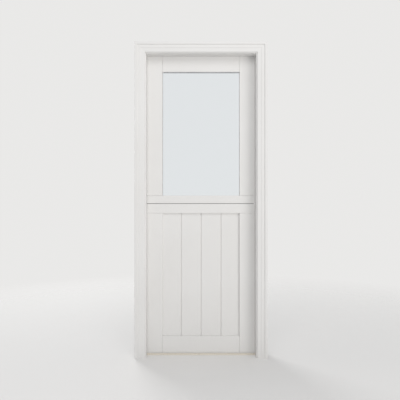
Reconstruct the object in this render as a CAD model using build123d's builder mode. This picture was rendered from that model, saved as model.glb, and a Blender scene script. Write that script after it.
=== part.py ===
"""A painted timber stable door: two leaves, one above the other, hung in their rebated frame.

The room side faces -Y and both leaves open outward, to +Y. X = 0 is the middle of the doorway,
Y = 0 the middle of the leaves' thickness and Z = 0 the floor, all in millimetres.
"""

import os

from build123d import *

os.makedirs("parts", exist_ok=True)

# Leaves
leaf_width = 762
leaf_thickness = 44
lower_leaf_height = 1022
upper_leaf_height = 1015
leaf_gap = 3
stile_width = 118
top_rail_height = 118
upper_meeting_rail_height = 53
lower_meeting_rail_height = 64
bottom_rail_height = 118
edge_ease = 0.8

# Frame
jamb_thickness = 42
stop_depth = 68
stop_overlap = 12
seal_gap = 3
stop_arris = 1.5
fixing_hole_radius = 5
fixing_pitch = 500
fixing_count = 4

# Joints in the timber
tenon_thickness = 14
rail_tenon_length = 60
rail_tenon_inset = 20
stile_tenon_length = 38
stile_tenon_inner_inset = 8
stile_tenon_outer_inset = 25
tenon_slack = 0.1
tenon_end_slack = 1.5
head_tenon_length = 30
head_tenon_thickness = 14
head_tenon_inset = 16

# Architrave, measured from its inner edge and from the frame's room face
architrave_margin = 7
architrave_width = 67
band_width = 18
middle_width = 21
band_thickness = 18
middle_thickness = 12.5
inner_thickness = 10.5
inner_edge_thickness = 7.5
architrave_round = 2

# Threshold
threshold_base = 5
threshold_upstand = 12.5
upstand_thickness = 8
threshold_nosing = 11
nosing_drop = 3
threshold_slack = 0.3

# Weather seals: a stem pressed in a groove, with a soft bulb proud of it
seal_stem = 3.6
seal_groove = 4
seal_groove_depth = 6
seal_bulb = 8
seal_clearance = 0.3
small_seal_stem = 2.6
small_seal_groove = 3
small_seal_groove_depth = 3
small_seal_bulb = 4.4
meeting_seal_end = 4

# Panel of tongued and grooved boards
board_count = 4
board_thickness = 16
board_tuck = 9
panel_groove_depth = 10
panel_groove_slack = 0.2
board_chamfer = 4.5
board_joint = 0.8
tongue_length = 6
tongue_thickness = 5
tongue_slack = 0.2
tongue_end_slack = 1

# Double glazing
glass_upstand = 12
glass_rebate = 14
glass_clearance = 3.5
pane_thickness = 4
pane_spacing = 12
gasket_thickness = 1.5
gasket_setback = 1
spacer_width = 6.5
spacer_inset = 3
bead_slope = 4
block_length = 100

# Butt hinges
hinge_height = 100
hinge_inset = 175
flap_thickness = 3
flap_depth = 30
knuckle_radius = 6.5
knuckle_clearance = 0.5
knuckle_count = 3
knuckle_gap = 0.3
pin_radius = 3
pin_fit = 0.05
recess_slack = 0.2

# Mortice lock in the lower leaf, keyed from outside only
lock_drop = 96
backset = 40
case_depth = 62
case_height = 85
case_thickness = 15
case_wall = 1.5
case_drop = 30
case_slack = 0.3
forend_width = 22
forend_height = 130
forend_thickness = 3
bolt_height = 25
bolt_thickness = 10
bolt_length = 46
bolt_rise = 28
bolt_slack = 0.2
bolt_travel = 18
cylinder_radius = 8.5
cylinder_lobe_width = 10
cylinder_height = 33
cylinder_proud = 3
cylinder_slack = 0.2
plug_radius = 6.5
plug_fit = 0.05
cam_reach = 14.5
cam_width = 8
cam_thickness = 8
cam_gap = 1
keyway_width = 1.6
keyway_height = 8
keyway_depth = 12
keep_height = 110
keep_thickness = 2.5
keep_wall = 1.5
keep_slack = 1

# Flush bolt in the upper leaf's closing edge, which ties the leaves together
flush_rod_radius = 4
flush_rod_fit = 0.1
flush_rod_length = 150
flush_rod_recess = 1
flush_travel = 18
flush_rod_setback = 9
flush_plate_width = 18
flush_plate_height = 170
flush_plate_inset = 8
flush_plate_thickness = 2.5
thumb_width = 7
thumb_height = 12
thumb_rise = 100
thumb_sink = 0.3
thumb_slack = 0.5
flush_keep_length = 40
flush_keep_width = 13
flush_keep_slack = 0.6

# Pull handles on the outside
pull_length = 160
pull_reach = 42
pull_width = 20
pull_thickness = 7
pull_bend = 12
upper_pull_rise = 134
lower_pull_drop = 170

# Weatherboard on the lower leaf's outside
weatherboard_height = 58
weatherboard_reach = 38
weatherboard_rise = 6
weatherboard_end_gap = 14
weatherboard_nose = 14
weatherboard_top = 8
weatherboard_chamfer = 2
drip_inset = 9
drip_radius = 3

# Places that follow from the sizes above
leaf_x = leaf_width / 2
leaf_in = -leaf_thickness / 2
leaf_out = leaf_thickness / 2
rebate_x = leaf_x + leaf_gap
stop_x = leaf_x - stop_overlap
frame_x = rebate_x + jamb_thickness
stop_y = leaf_in - seal_gap
room_y = stop_y - stop_depth
lower_bottom = threshold_base + leaf_gap
lower_top = lower_bottom + lower_leaf_height
upper_bottom = lower_top + leaf_gap
upper_top = upper_bottom + upper_leaf_height
head_rebate = upper_top + leaf_gap
head_stop = upper_top - stop_overlap
head_top = head_rebate + jamb_thickness
sight_x = leaf_x - stile_width
glass_bottom = upper_bottom + upper_meeting_rail_height
glass_top = upper_top - top_rail_height
panel_bottom = lower_bottom + bottom_rail_height
panel_top = lower_top - lower_meeting_rail_height
seal_x = (leaf_x + stop_x) / 2
seal_proud = seal_gap - seal_clearance
head_seal_z = (upper_top + head_stop) / 2
tenon_half = tenon_thickness / 2
stile_tenon_in = sight_x + glass_rebate + stile_tenon_inner_inset
stile_tenon_out = leaf_x - stile_tenon_outer_inset
hinge_x = -(leaf_x + leaf_gap / 2)
hinge_y = leaf_out + knuckle_clearance + knuckle_radius
lower_hinges = (lower_bottom + hinge_inset, lower_top - hinge_inset)
upper_hinges = (upper_bottom + hinge_inset, upper_top - hinge_inset)
fixing_y = (room_y + stop_y) / 2
lock_height = panel_top - lock_drop
lock_x = leaf_x - backset
case_front = leaf_x - forend_thickness
case_low = lock_height - case_drop
case_high = case_low + case_height
bolt_z = lock_height + bolt_rise
forend_z = (case_low + case_high) / 2
keep_end = leaf_x + bolt_travel + keep_slack
flush_x = leaf_x - flush_rod_setback
rod_low = upper_bottom + flush_rod_recess
thumb_low = rod_low + thumb_rise
thumb_high = thumb_low + thumb_height
plate_low = upper_bottom + flush_plate_inset
plate_high = plate_low + flush_plate_height
gasket_y = leaf_in + glass_upstand
inner_pane_y = gasket_y + gasket_thickness
spacer_y = inner_pane_y + pane_thickness
outer_pane_y = spacer_y + pane_spacing
bead_y = outer_pane_y + pane_thickness
closing_x = (sight_x + leaf_x) / 2
upper_pull_height = glass_bottom + upper_pull_rise
lower_pull_height = lock_height - lower_pull_drop


def write(piece, name):
    """Label a finished piece and write it to its own file."""
    piece.part.label = name
    export_step(piece.part, f"parts/{name}.step")


def bar(low, high, mode=Mode.ADD):
    """A straight bar between its lowest and highest corners, in the piece being built."""
    with BuildSketch(Plane.XY.offset(low[2])) as outline:
        with Locations(((low[0] + high[0]) / 2, (low[1] + high[1]) / 2)):
            Rectangle(high[0] - low[0], high[1] - low[1])
    extrude(outline.sketch, amount=high[2] - low[2], mode=mode)


def cut_bar(low, high):
    """A straight bar taken out of the piece being built."""
    bar(low, high, mode=Mode.SUBTRACT)


def side_bar(side, near, far, depth, height, mode=Mode.ADD):
    """A bar on one side of the doorway, side -1 or +1, near and far being measured from the middle."""
    left, right = sorted((side * near, side * far))
    bar((left, depth[0], height[0]), (right, depth[1], height[1]), mode)


def timber(low, high):
    """A planed bar whose edges are all eased."""
    bar(low, high)
    chamfer(edges(), edge_ease)


def upright(y):
    """An upright plane facing the room at depth y, with X to the right and Z up."""
    return Plane(origin=(0, y, 0), x_dir=(1, 0, 0), z_dir=(0, -1, 0))


def across(x, y, z, towards):
    """A plane at a point, facing along X towards +1 or -1, for holes through the jambs."""
    return Plane(origin=(x, y, z), x_dir=(0, 1, 0), z_dir=(towards, 0, 0))


def drill(plane, radius, depth, mode=Mode.SUBTRACT):
    """A round hole, or a pin, of one radius that goes back from a plane."""
    with BuildSketch(plane) as ring:
        Circle(radius)
    extrude(ring.sketch, amount=-depth, mode=mode)


def seal(plane, stem, depth, bulb, length):
    """A seal along a plane's normal: its stem goes down from the plane's X axis, its bulb up."""
    with BuildSketch(plane) as section:
        with BuildLine():
            Polyline(
                (-bulb / 2, 0),
                (-stem / 2, 0),
                (-stem / 2, -depth),
                (stem / 2, -depth),
                (stem / 2, 0),
                (bulb / 2, 0),
            )
            ThreePointArc((bulb / 2, 0), (0, seal_proud), (-bulb / 2, 0))
        make_face()
    extrude(section.sketch, amount=length)


def ring(y, outer, inner, thickness):
    """A flat rectangular ring standing at depth y, round the glass: outer and inner are insets."""
    middle = (0, (glass_bottom + glass_top) / 2)
    height = glass_top - glass_bottom
    with BuildSketch(upright(y)) as outline:
        with Locations(middle):
            Rectangle(2 * (sight_x + outer), height + 2 * outer)
            Rectangle(2 * (sight_x + inner), height + 2 * inner, mode=Mode.SUBTRACT)
    extrude(outline.sketch, amount=-thickness)


# The frame's jambs, tenoned up into its head


def head_tenon(side, slack, end_slack, mode):
    """The tenon on a jamb's top, or with slack the mortice that it goes up in."""
    middle = (rebate_x + frame_x) / 2
    half = head_tenon_thickness / 2 + slack
    depth = (room_y + head_tenon_inset - slack, leaf_out - head_tenon_inset + slack)
    height = (head_rebate, head_rebate + head_tenon_length + end_slack)
    side_bar(side, middle - half, middle + half, depth, height, mode)


def jamb_blank(side):
    """A jamb without its hardware's recesses, side -1 to the left and +1 to the right."""
    with BuildPart() as blank:
        side_bar(side, rebate_x, frame_x, (room_y, leaf_out), (0, head_rebate))
        head_tenon(side, 0, 0, Mode.ADD)
        for index in range(fixing_count):
            height = head_stop / 2 + (index - (fixing_count - 1) / 2) * fixing_pitch
            drill(across(side * frame_x, fixing_y, height, side), fixing_hole_radius, jamb_thickness)
    return blank.part


with BuildPart() as hinge_jamb:
    add(jamb_blank(-1))
    for height in (*lower_hinges, *upper_hinges):
        half = hinge_height / 2 + recess_slack
        cut_bar(
            (-rebate_x - flap_thickness, leaf_out - flap_depth - recess_slack, height - half),
            (-rebate_x, leaf_out, height + half),
        )
write(hinge_jamb, "hinge_jamb")

with BuildPart() as closing_jamb:
    add(jamb_blank(1))
    cut_bar(
        (rebate_x, -forend_width / 2 - recess_slack, bolt_z - keep_height / 2 - recess_slack),
        (
            rebate_x + keep_thickness,
            forend_width / 2 + recess_slack,
            bolt_z + keep_height / 2 + recess_slack,
        ),
    )
    pocket_half_depth = bolt_thickness / 2 + keep_slack + keep_wall + case_slack
    pocket_half_height = bolt_height / 2 + keep_slack + keep_wall + case_slack
    cut_bar(
        (rebate_x, -pocket_half_depth, bolt_z - pocket_half_height),
        (keep_end + keep_wall + case_slack, pocket_half_depth, bolt_z + pocket_half_height),
    )
write(closing_jamb, "closing_jamb")

with BuildPart() as frame_head:
    bar((-frame_x, room_y, head_rebate), (frame_x, leaf_out, head_top))
    for side in (-1, 1):
        head_tenon(side, tenon_slack, tenon_end_slack, Mode.SUBTRACT)
write(frame_head, "frame_head")

# The stops planted inside the frame, which the leaves close against, grooved for the seals

for side, name in ((-1, "hinge_stop"), (1, "closing_stop")):
    with BuildPart() as side_stop:
        side_bar(side, stop_x, rebate_x, (room_y, stop_y), (0, head_stop))
        fillet(edges().filter_by(Axis.Z).sort_by_distance((side * stop_x, room_y, 0))[0], stop_arris)
        groove = (seal_x - seal_groove / 2, seal_x + seal_groove / 2)
        groove_depth = (stop_y - seal_groove_depth, stop_y)
        side_bar(side, *groove, groove_depth, (0, head_stop), Mode.SUBTRACT)
    write(side_stop, name)

with BuildPart() as head_stop_lath:
    bar((-rebate_x, room_y, head_stop), (rebate_x, stop_y, head_rebate))
    fillet(edges().filter_by(Axis.X).sort_by_distance((0, room_y, head_stop))[0], stop_arris)
    cut_bar(
        (-rebate_x, stop_y - seal_groove_depth, head_seal_z - seal_groove / 2),
        (rebate_x, stop_y, head_seal_z + seal_groove / 2),
    )
write(head_stop_lath, "head_stop")

# The low threshold: a base under the leaf, an upstand in front of it and a sloped nosing

with BuildPart() as threshold:
    with BuildSketch(Plane.YZ.offset(-rebate_x + threshold_slack)) as base:
        with BuildLine():
            Polyline(
                (stop_y, 0),
                (leaf_out + threshold_nosing, 0),
                (leaf_out + threshold_nosing, threshold_base - nosing_drop),
                (leaf_out, threshold_base),
                (stop_y, threshold_base),
                close=True,
            )
        make_face()
    extrude(amount=2 * (rebate_x - threshold_slack))
    with BuildSketch(Plane.YZ.offset(-stop_x + threshold_slack)) as upstand:
        with Locations((stop_y - upstand_thickness / 2, threshold_upstand / 2)):
            Rectangle(upstand_thickness, threshold_upstand)
        front = upstand.vertices().sort_by_distance(
            (stop_y - upstand_thickness, threshold_upstand)
        )
        fillet(front[0], upstand_thickness / 4)
    extrude(amount=2 * (stop_x - threshold_slack))
    threshold_seal_z = (threshold_base + threshold_upstand) / 2
    cut_bar(
        (-stop_x, stop_y - small_seal_groove_depth, threshold_seal_z - small_seal_groove / 2),
        (stop_x, stop_y, threshold_seal_z + small_seal_groove / 2),
    )
write(threshold, "threshold")

# Weather seals

for side, name in ((-1, "hinge_jamb_seal"), (1, "closing_jamb_seal")):
    with BuildPart() as jamb_seal:
        foot = Plane(origin=(side * seal_x, stop_y, threshold_base))
        depth = seal_groove_depth - seal_clearance
        seal(foot, seal_stem, depth, seal_bulb, head_stop - threshold_base)
    write(jamb_seal, name)

with BuildPart() as head_seal:
    end = seal_x + seal_bulb / 2
    start = Plane(origin=(end, stop_y, head_seal_z), x_dir=(0, 0, 1), z_dir=(-1, 0, 0))
    seal(start, seal_stem, seal_groove_depth - seal_clearance, seal_bulb, 2 * end)
write(head_seal, "head_seal")

with BuildPart() as threshold_seal:
    end = stop_x - threshold_slack
    start = Plane(origin=(end, stop_y, threshold_seal_z), x_dir=(0, 0, 1), z_dir=(-1, 0, 0))
    depth = small_seal_groove_depth - seal_clearance
    seal(start, small_seal_stem, depth, small_seal_bulb, 2 * end)
write(threshold_seal, "threshold_seal")

# The architrave: a raised band round the outside, then two lower steps towards the doorway

inner_x = stop_x + architrave_margin
inner_z = head_stop + architrave_margin
left_mitre = Plane(origin=(-inner_x, room_y, inner_z), x_dir=(0, 1, 0), z_dir=(1, 0, 1))
right_mitre = Plane(origin=(inner_x, room_y, inner_z), x_dir=(0, 1, 0), z_dir=(-1, 0, 1))


def architrave_length(plane, length):
    """A length of the moulding along a plane's normal, X outward and Y away from the wall."""
    inner_step = architrave_width - band_width - middle_width
    band_step = architrave_width - band_width
    with BuildSketch(plane) as section:
        with BuildLine():
            Polyline(
                (0, 0),
                (0, inner_edge_thickness),
                (architrave_round, inner_edge_thickness + architrave_round / 2),
                (inner_step, inner_thickness),
                (inner_step, middle_thickness),
                (band_step, middle_thickness),
                (band_step, band_thickness),
                (architrave_width, band_thickness),
                (architrave_width, 0),
                close=True,
            )
        make_face()
        for corner in ((band_step, band_thickness), (architrave_width, band_thickness)):
            fillet(section.vertices().sort_by_distance(corner)[0], architrave_round)
        fillet(
            section.vertices().sort_by_distance((inner_step, middle_thickness))[0],
            (middle_thickness - inner_thickness) / 2,
        )
    extrude(section.sketch, amount=length)


for side, mitre, name in (
    (-1, left_mitre, "architrave_left"),
    (1, right_mitre, "architrave_right"),
):
    with BuildPart() as upright_trim:
        foot = Plane(origin=(side * inner_x, room_y, 0), x_dir=(side, 0, 0), z_dir=(0, 0, -side))
        architrave_length(foot, -side * (inner_z + architrave_width))
        split(bisect_by=mitre, keep=Keep.BOTTOM)
    write(upright_trim, name)

with BuildPart() as architrave_head:
    end = inner_x + architrave_width
    start = Plane(origin=(-end, room_y, inner_z), x_dir=(0, 0, 1), z_dir=(1, 0, 0))
    architrave_length(start, 2 * end)
    split(bisect_by=left_mitre, keep=Keep.TOP)
    split(bisect_by=right_mitre, keep=Keep.TOP)
write(architrave_head, "architrave_head")

# Timber of both leaves. The two meeting rails run the full width, the other rails between stiles


def glazing_rebate():
    """Cut the rebate, open to the outside, that the glass lies in."""
    cut_bar(
        (-sight_x - glass_rebate, gasket_y, glass_bottom - glass_rebate),
        (sight_x + glass_rebate, leaf_out, glass_top + glass_rebate),
    )


def panel_groove():
    """Cut the groove all round the opening that the boards stand in."""
    half = board_thickness / 2 + panel_groove_slack
    cut_bar(
        (-sight_x - panel_groove_depth, -half, panel_bottom - panel_groove_depth),
        (sight_x + panel_groove_depth, half, panel_top + panel_groove_depth),
    )


def rail_tenon(side, low, high, slack, end_slack, mode):
    """A tenon on a rail's end, or with slack the mortice for it in the stile."""
    depth = (-tenon_half - slack, tenon_half + slack)
    height = (low - slack, high + slack)
    side_bar(side, sight_x, sight_x + rail_tenon_length + end_slack, depth, height, mode)


def stile_tenon(side, low, high, slack, mode):
    """A tenon on a stile's end, or with slack the mortice for it in the meeting rail."""
    depth = (-tenon_half - slack, tenon_half + slack)
    side_bar(side, stile_tenon_in - slack, stile_tenon_out + slack, depth, (low, high), mode)


def hinge_recesses(heights):
    """Cut the beds of the leaf's hinge flaps in the hinge stile's edge."""
    half = hinge_height / 2 + recess_slack
    for height in heights:
        cut_bar(
            (-leaf_x, leaf_out - flap_depth - recess_slack, height - half),
            (-leaf_x + flap_thickness, leaf_out, height + half),
        )


def flush_bolt_room():
    """Cut the room for the flush bolt: its plate's bed, its rod's hole and its thumb's slot."""
    face = leaf_x - flush_plate_thickness
    half = flush_plate_width / 2 + recess_slack
    cut_bar((face, -half, plate_low - recess_slack), (leaf_x, half, plate_high + recess_slack))
    top = rod_low + flush_rod_length + flush_rod_recess
    hole = flush_rod_radius + flush_rod_fit
    drill(Plane(origin=(flush_x, 0, top)), hole, top - upper_bottom)
    thumb_half = thumb_width / 2 + thumb_slack
    cut_bar(
        (flush_x, -thumb_half, thumb_low - flush_travel - thumb_slack),
        (leaf_x, thumb_half, thumb_high + thumb_slack),
    )


top_tenon = (glass_top + rail_tenon_inset, upper_top - rail_tenon_inset)
bottom_tenon = (lower_bottom + rail_tenon_inset, panel_bottom - rail_tenon_inset)

with BuildPart() as upper_meeting_rail:
    timber((-leaf_x, leaf_in, upper_bottom), (leaf_x, leaf_out, glass_bottom))
    glazing_rebate()
    for side in (-1, 1):
        floor = glass_bottom - stile_tenon_length - tenon_end_slack
        stile_tenon(side, floor, glass_bottom, tenon_slack, Mode.SUBTRACT)
    flush_bolt_room()
write(upper_meeting_rail, "upper_meeting_rail")

with BuildPart() as upper_top_rail:
    timber((-sight_x, leaf_in, glass_top), (sight_x, leaf_out, upper_top))
    glazing_rebate()
    for side in (-1, 1):
        rail_tenon(side, *top_tenon, 0, 0, Mode.ADD)
write(upper_top_rail, "upper_top_rail")


def upper_stile(side):
    """A stile of the upper leaf, which stands on the meeting rail, before its hardware."""
    with BuildPart() as stile:
        left, right = sorted((side * sight_x, side * leaf_x))
        timber((left, leaf_in, glass_bottom), (right, leaf_out, upper_top))
        glazing_rebate()
        stile_tenon(side, glass_bottom - stile_tenon_length, glass_bottom, 0, Mode.ADD)
        rail_tenon(side, *top_tenon, tenon_slack, tenon_end_slack, Mode.SUBTRACT)
    return stile.part


with BuildPart() as upper_hinge_stile:
    add(upper_stile(-1))
    hinge_recesses(upper_hinges)
write(upper_hinge_stile, "upper_hinge_stile")

with BuildPart() as upper_closing_stile:
    add(upper_stile(1))
    flush_bolt_room()
write(upper_closing_stile, "upper_closing_stile")

with BuildPart() as lower_meeting_rail:
    timber((-leaf_x, leaf_in, panel_top), (leaf_x, leaf_out, lower_top))
    panel_groove()
    for side in (-1, 1):
        ceiling = panel_top + stile_tenon_length + tenon_end_slack
        stile_tenon(side, panel_top, ceiling, tenon_slack, Mode.SUBTRACT)
    keep_half = flush_keep_length / 2 + recess_slack
    keep_reach = flush_keep_width / 2 + recess_slack
    cut_bar(
        (flush_x - keep_reach, -keep_half, lower_top - flush_plate_thickness),
        (flush_x + keep_reach, keep_half, lower_top),
    )
    keep_hole = flush_rod_radius + flush_keep_slack
    drill(Plane(origin=(flush_x, 0, lower_top)), keep_hole, flush_travel + flush_rod_radius)
    meeting_seal_y = leaf_in / 2
    meeting_seal_low = -leaf_x + meeting_seal_end
    meeting_seal_high = flush_x - keep_reach - meeting_seal_end
    cut_bar(
        (
            meeting_seal_low,
            meeting_seal_y - small_seal_groove / 2,
            lower_top - small_seal_groove_depth,
        ),
        (meeting_seal_high, meeting_seal_y + small_seal_groove / 2, lower_top),
    )
write(lower_meeting_rail, "lower_meeting_rail")

with BuildPart() as lower_bottom_rail:
    timber((-sight_x, leaf_in, lower_bottom), (sight_x, leaf_out, panel_bottom))
    panel_groove()
    for side in (-1, 1):
        rail_tenon(side, *bottom_tenon, 0, 0, Mode.ADD)
write(lower_bottom_rail, "lower_bottom_rail")


def lower_stile(side):
    """A stile of the lower leaf, which the meeting rail lies on, before its hardware."""
    with BuildPart() as stile:
        left, right = sorted((side * sight_x, side * leaf_x))
        timber((left, leaf_in, lower_bottom), (right, leaf_out, panel_top))
        panel_groove()
        stile_tenon(side, panel_top, panel_top + stile_tenon_length, 0, Mode.ADD)
        rail_tenon(side, *bottom_tenon, tenon_slack, tenon_end_slack, Mode.SUBTRACT)
    return stile.part


def cylinder_outline(y, slack):
    """The lock cylinder's outline at depth y: a round barrel with a narrow lobe below it."""
    lobe = cylinder_lobe_width / 2
    lobe_z = lock_height + cylinder_radius - cylinder_height + lobe
    with BuildSketch(upright(y)) as outline:
        with Locations((lock_x, lock_height)):
            Circle(cylinder_radius + slack)
        with Locations((lock_x, (lock_height + lobe_z) / 2)):
            Rectangle(2 * (lobe + slack), lock_height - lobe_z)
        with Locations((lock_x, lobe_z)):
            Circle(lobe + slack)
    return outline.sketch


with BuildPart() as lower_hinge_stile:
    add(lower_stile(-1))
    hinge_recesses(lower_hinges)
write(lower_hinge_stile, "lower_hinge_stile")

with BuildPart() as lower_closing_stile:
    add(lower_stile(1))
    half_width = forend_width / 2 + recess_slack
    half_height = forend_height / 2 + recess_slack
    cut_bar(
        (case_front, -half_width, forend_z - half_height),
        (leaf_x, half_width, forend_z + half_height),
    )
    half_width = case_thickness / 2 + case_slack
    cut_bar(
        (case_front - case_depth - case_slack, -half_width, case_low - case_slack),
        (case_front, half_width, case_high + case_slack),
    )
    extrude(cylinder_outline(0, cylinder_slack), amount=-leaf_out, mode=Mode.SUBTRACT)
write(lower_closing_stile, "lower_closing_stile")

# The lower leaf's panel of four tongued and grooved boards with V joints on both faces

board_cover = 2 * (sight_x + board_tuck) / board_count
board_half = board_thickness / 2
joint_half = board_joint / 2
vee_depth = board_chamfer - joint_half


def board_outline(left, right, grooved, tongued):
    """The section of one board, jointed on the edges that meet another board."""
    tongue = tongue_thickness / 2
    groove = tongue + tongue_slack
    slot = left + joint_half + tongue_length + tongue_end_slack
    tip = right - joint_half + tongue_length
    points = [(left, board_half), (left, -board_half)]
    if grooved:
        points = [
            (left + board_chamfer, board_half),
            (left + joint_half, board_half - vee_depth),
            (left + joint_half, groove),
            (slot, groove),
            (slot, -groove),
            (left + joint_half, -groove),
            (left + joint_half, vee_depth - board_half),
            (left + board_chamfer, -board_half),
        ]
    if tongued:
        points += [
            (right - board_chamfer, -board_half),
            (right - joint_half, vee_depth - board_half),
            (right - joint_half, -tongue),
            (tip, -tongue),
            (tip, tongue),
            (right - joint_half, tongue),
            (right - joint_half, board_half - vee_depth),
            (right - board_chamfer, board_half),
        ]
    else:
        points += [(right, -board_half), (right, board_half)]
    return points


for index in range(board_count):
    with BuildPart() as panel_board:
        left = -sight_x - board_tuck + index * board_cover
        with BuildSketch(Plane.XY.offset(panel_bottom - board_tuck)):
            with BuildLine():
                jointed = (index > 0, index < board_count - 1)
                Polyline(*board_outline(left, left + board_cover, *jointed), close=True)
            make_face()
        extrude(amount=panel_top - panel_bottom + 2 * board_tuck)
    write(panel_board, f"panel_board_{index + 1}")

with BuildPart() as meeting_seal:
    start = Plane(
        origin=(meeting_seal_low, meeting_seal_y, lower_top), x_dir=(0, 1, 0), z_dir=(1, 0, 0)
    )
    depth = small_seal_groove_depth - seal_clearance
    length = meeting_seal_high - meeting_seal_low
    seal(start, small_seal_stem, depth, small_seal_bulb, length)
write(meeting_seal, "meeting_seal")

with BuildPart() as weatherboard:
    low = lower_bottom + weatherboard_rise
    high = low + weatherboard_height
    nose = leaf_out + weatherboard_reach
    half = leaf_x - weatherboard_end_gap
    with BuildSketch(Plane.YZ.offset(-half)):
        with BuildLine():
            Polyline(
                (leaf_out, low),
                (nose - weatherboard_chamfer, low),
                (nose, low + weatherboard_chamfer),
                (nose, low + weatherboard_nose),
                (leaf_out + weatherboard_top, high),
                (leaf_out, high),
                close=True,
            )
        make_face()
        with Locations((nose - drip_inset, low)):
            Circle(drip_radius, mode=Mode.SUBTRACT)
    extrude(amount=2 * half)
write(weatherboard, "weatherboard")

# The double glazed unit, bedded on a gasket and held by sloped beads from outside

with BuildPart() as glazing_gasket:
    ring(gasket_y, glass_rebate - gasket_setback, gasket_setback, gasket_thickness)
write(glazing_gasket, "glazing_gasket")

glass_inset = glass_rebate - glass_clearance
for name, y in (("inner_pane", inner_pane_y), ("outer_pane", outer_pane_y)):
    with BuildPart() as pane:
        bar(
            (-sight_x - glass_inset, y, glass_bottom - glass_inset),
            (sight_x + glass_inset, y + pane_thickness, glass_top + glass_inset),
        )
    write(pane, name)

with BuildPart() as spacer_bar:
    outer = glass_inset - spacer_inset
    ring(spacer_y, outer, outer - spacer_width, pane_spacing)
write(spacer_bar, "spacer_bar")

with BuildPart() as setting_blocks:
    for side in (-1, 1):
        middle = side * sight_x / 2
        bar(
            (middle - block_length / 2, inner_pane_y, glass_bottom - glass_rebate),
            (middle + block_length / 2, bead_y, glass_bottom - glass_inset),
        )
write(setting_blocks, "setting_blocks")

rebate_side = sight_x + glass_rebate
rebate_low = glass_bottom - glass_rebate
rebate_high = glass_top + glass_rebate


def corner(side, z, up):
    """The mitre plane at a corner of the glazing, whose normal leans to the side and up."""
    return Plane(origin=(side * rebate_side, bead_y, z), x_dir=(0, 1, 0), z_dir=(side, 0, up))


def bead_outline(plane, length):
    """A glazing bead along a plane's normal, X inward from the rebate and Y to the outside."""
    thickness = leaf_out - bead_y
    with BuildSketch(plane) as section:
        with BuildLine():
            Polyline(
                (0, 0),
                (glass_rebate, 0),
                (glass_rebate, edge_ease),
                (glass_rebate - bead_slope, thickness),
                (0, thickness),
                close=True,
            )
        make_face()
    extrude(section.sketch, amount=length)


for side, name in ((-1, "glazing_bead_left"), (1, "glazing_bead_right")):
    with BuildPart() as bead:
        foot = (side * rebate_side, bead_y, rebate_low)
        length = side * (rebate_low - rebate_high)
        bead_outline(Plane(origin=foot, x_dir=(-side, 0, 0), z_dir=(0, 0, -side)), length)
        split(bisect_by=corner(side, rebate_low, 1), keep=Keep.TOP)
        split(bisect_by=corner(side, rebate_high, -1), keep=Keep.TOP)
    write(bead, name)

for rise, z, name in ((1, rebate_low, "glazing_bead_bottom"), (-1, rebate_high, "glazing_bead_top")):
    with BuildPart() as bead:
        foot = (-rebate_side, bead_y, z)
        length = -rise * 2 * rebate_side
        bead_outline(Plane(origin=foot, x_dir=(0, 0, rise), z_dir=(-rise, 0, 0)), length)
        for side in (-1, 1):
            split(bisect_by=corner(side, z, rise), keep=Keep.BOTTOM)
    write(bead, name)

# Four butt hinges, two to a leaf, with their knuckles proud of the outside


def hinge_flap(height, on_frame):
    """One flap of a hinge and its share of the knuckles, for the frame or for the leaf."""
    face = -rebate_x if on_frame else -leaf_x
    back = face - flap_thickness if on_frame else face + flap_thickness
    left, right = sorted((face, back))
    low = height - hinge_height / 2
    high = height + hinge_height / 2
    pitch = hinge_height / knuckle_count
    bar((left, leaf_out - flap_depth, low), (right, leaf_out, high))
    for index in range(0 if on_frame else 1, knuckle_count, 2):
        start = low + index * pitch + knuckle_gap / 2
        end = start + pitch - knuckle_gap
        bar((left, leaf_out, start), (right, hinge_y, end))
        knuckle = Plane(origin=(hinge_x, hinge_y, end))
        drill(knuckle, knuckle_radius, pitch - knuckle_gap, mode=Mode.ADD)
    drill(Plane(origin=(hinge_x, hinge_y, high)), pin_radius + pin_fit, hinge_height)


hinges = (*lower_hinges, *upper_hinges)
for number, height in enumerate(hinges, start=1):
    with BuildPart() as frame_flap:
        hinge_flap(height, True)
    write(frame_flap, f"hinge_{number}_frame_flap")
    with BuildPart() as leaf_flap:
        hinge_flap(height, False)
    write(leaf_flap, f"hinge_{number}_leaf_flap")

with BuildPart() as hinge_pins:
    for height in hinges:
        top = Plane(origin=(hinge_x, hinge_y, height + hinge_height / 2))
        drill(top, pin_radius, hinge_height, Mode.ADD)
write(hinge_pins, "hinge_pins")

# The mortice lock in the lower leaf's closing edge, with its keep in the jamb

with BuildPart() as lock_case:
    back = case_front - case_depth
    half = case_thickness / 2
    bar((back, -half, case_low), (case_front, half, case_high))
    inner = half - case_wall
    cut_bar(
        (back + case_wall, -inner, case_low + case_wall),
        (case_front, inner, case_high - case_wall),
    )
    bar(
        (case_front, -forend_width / 2, forend_z - forend_height / 2),
        (leaf_x, forend_width / 2, forend_z + forend_height / 2),
    )
    half_thickness = bolt_thickness / 2 + bolt_slack
    half_height = bolt_height / 2 + bolt_slack
    cut_bar(
        (case_front, -half_thickness, bolt_z - half_height),
        (leaf_x, half_thickness, bolt_z + half_height),
    )
    extrude(cylinder_outline(0, cylinder_slack), amount=-half, mode=Mode.SUBTRACT)
write(lock_case, "lock_case")

with BuildPart() as lock_bolt:
    bar(
        (leaf_x - bolt_length, -bolt_thickness / 2, bolt_z - bolt_height / 2),
        (leaf_x, bolt_thickness / 2, bolt_z + bolt_height / 2),
    )
    chamfer(edges().group_by(Axis.X)[-1], edge_ease)
write(lock_bolt, "lock_bolt")

cylinder_end = leaf_out + cylinder_proud
cylinder_start = cam_thickness / 2 + cam_gap

with BuildPart() as lock_cylinder:
    extrude(cylinder_outline(cylinder_start, 0), amount=cylinder_start - cylinder_end)
    with BuildSketch(upright(cylinder_start)) as bore:
        with Locations((lock_x, lock_height)):
            Circle(plug_radius + plug_fit)
    extrude(bore.sketch, amount=cylinder_start - cylinder_end, mode=Mode.SUBTRACT)
write(lock_cylinder, "lock_cylinder")

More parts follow.
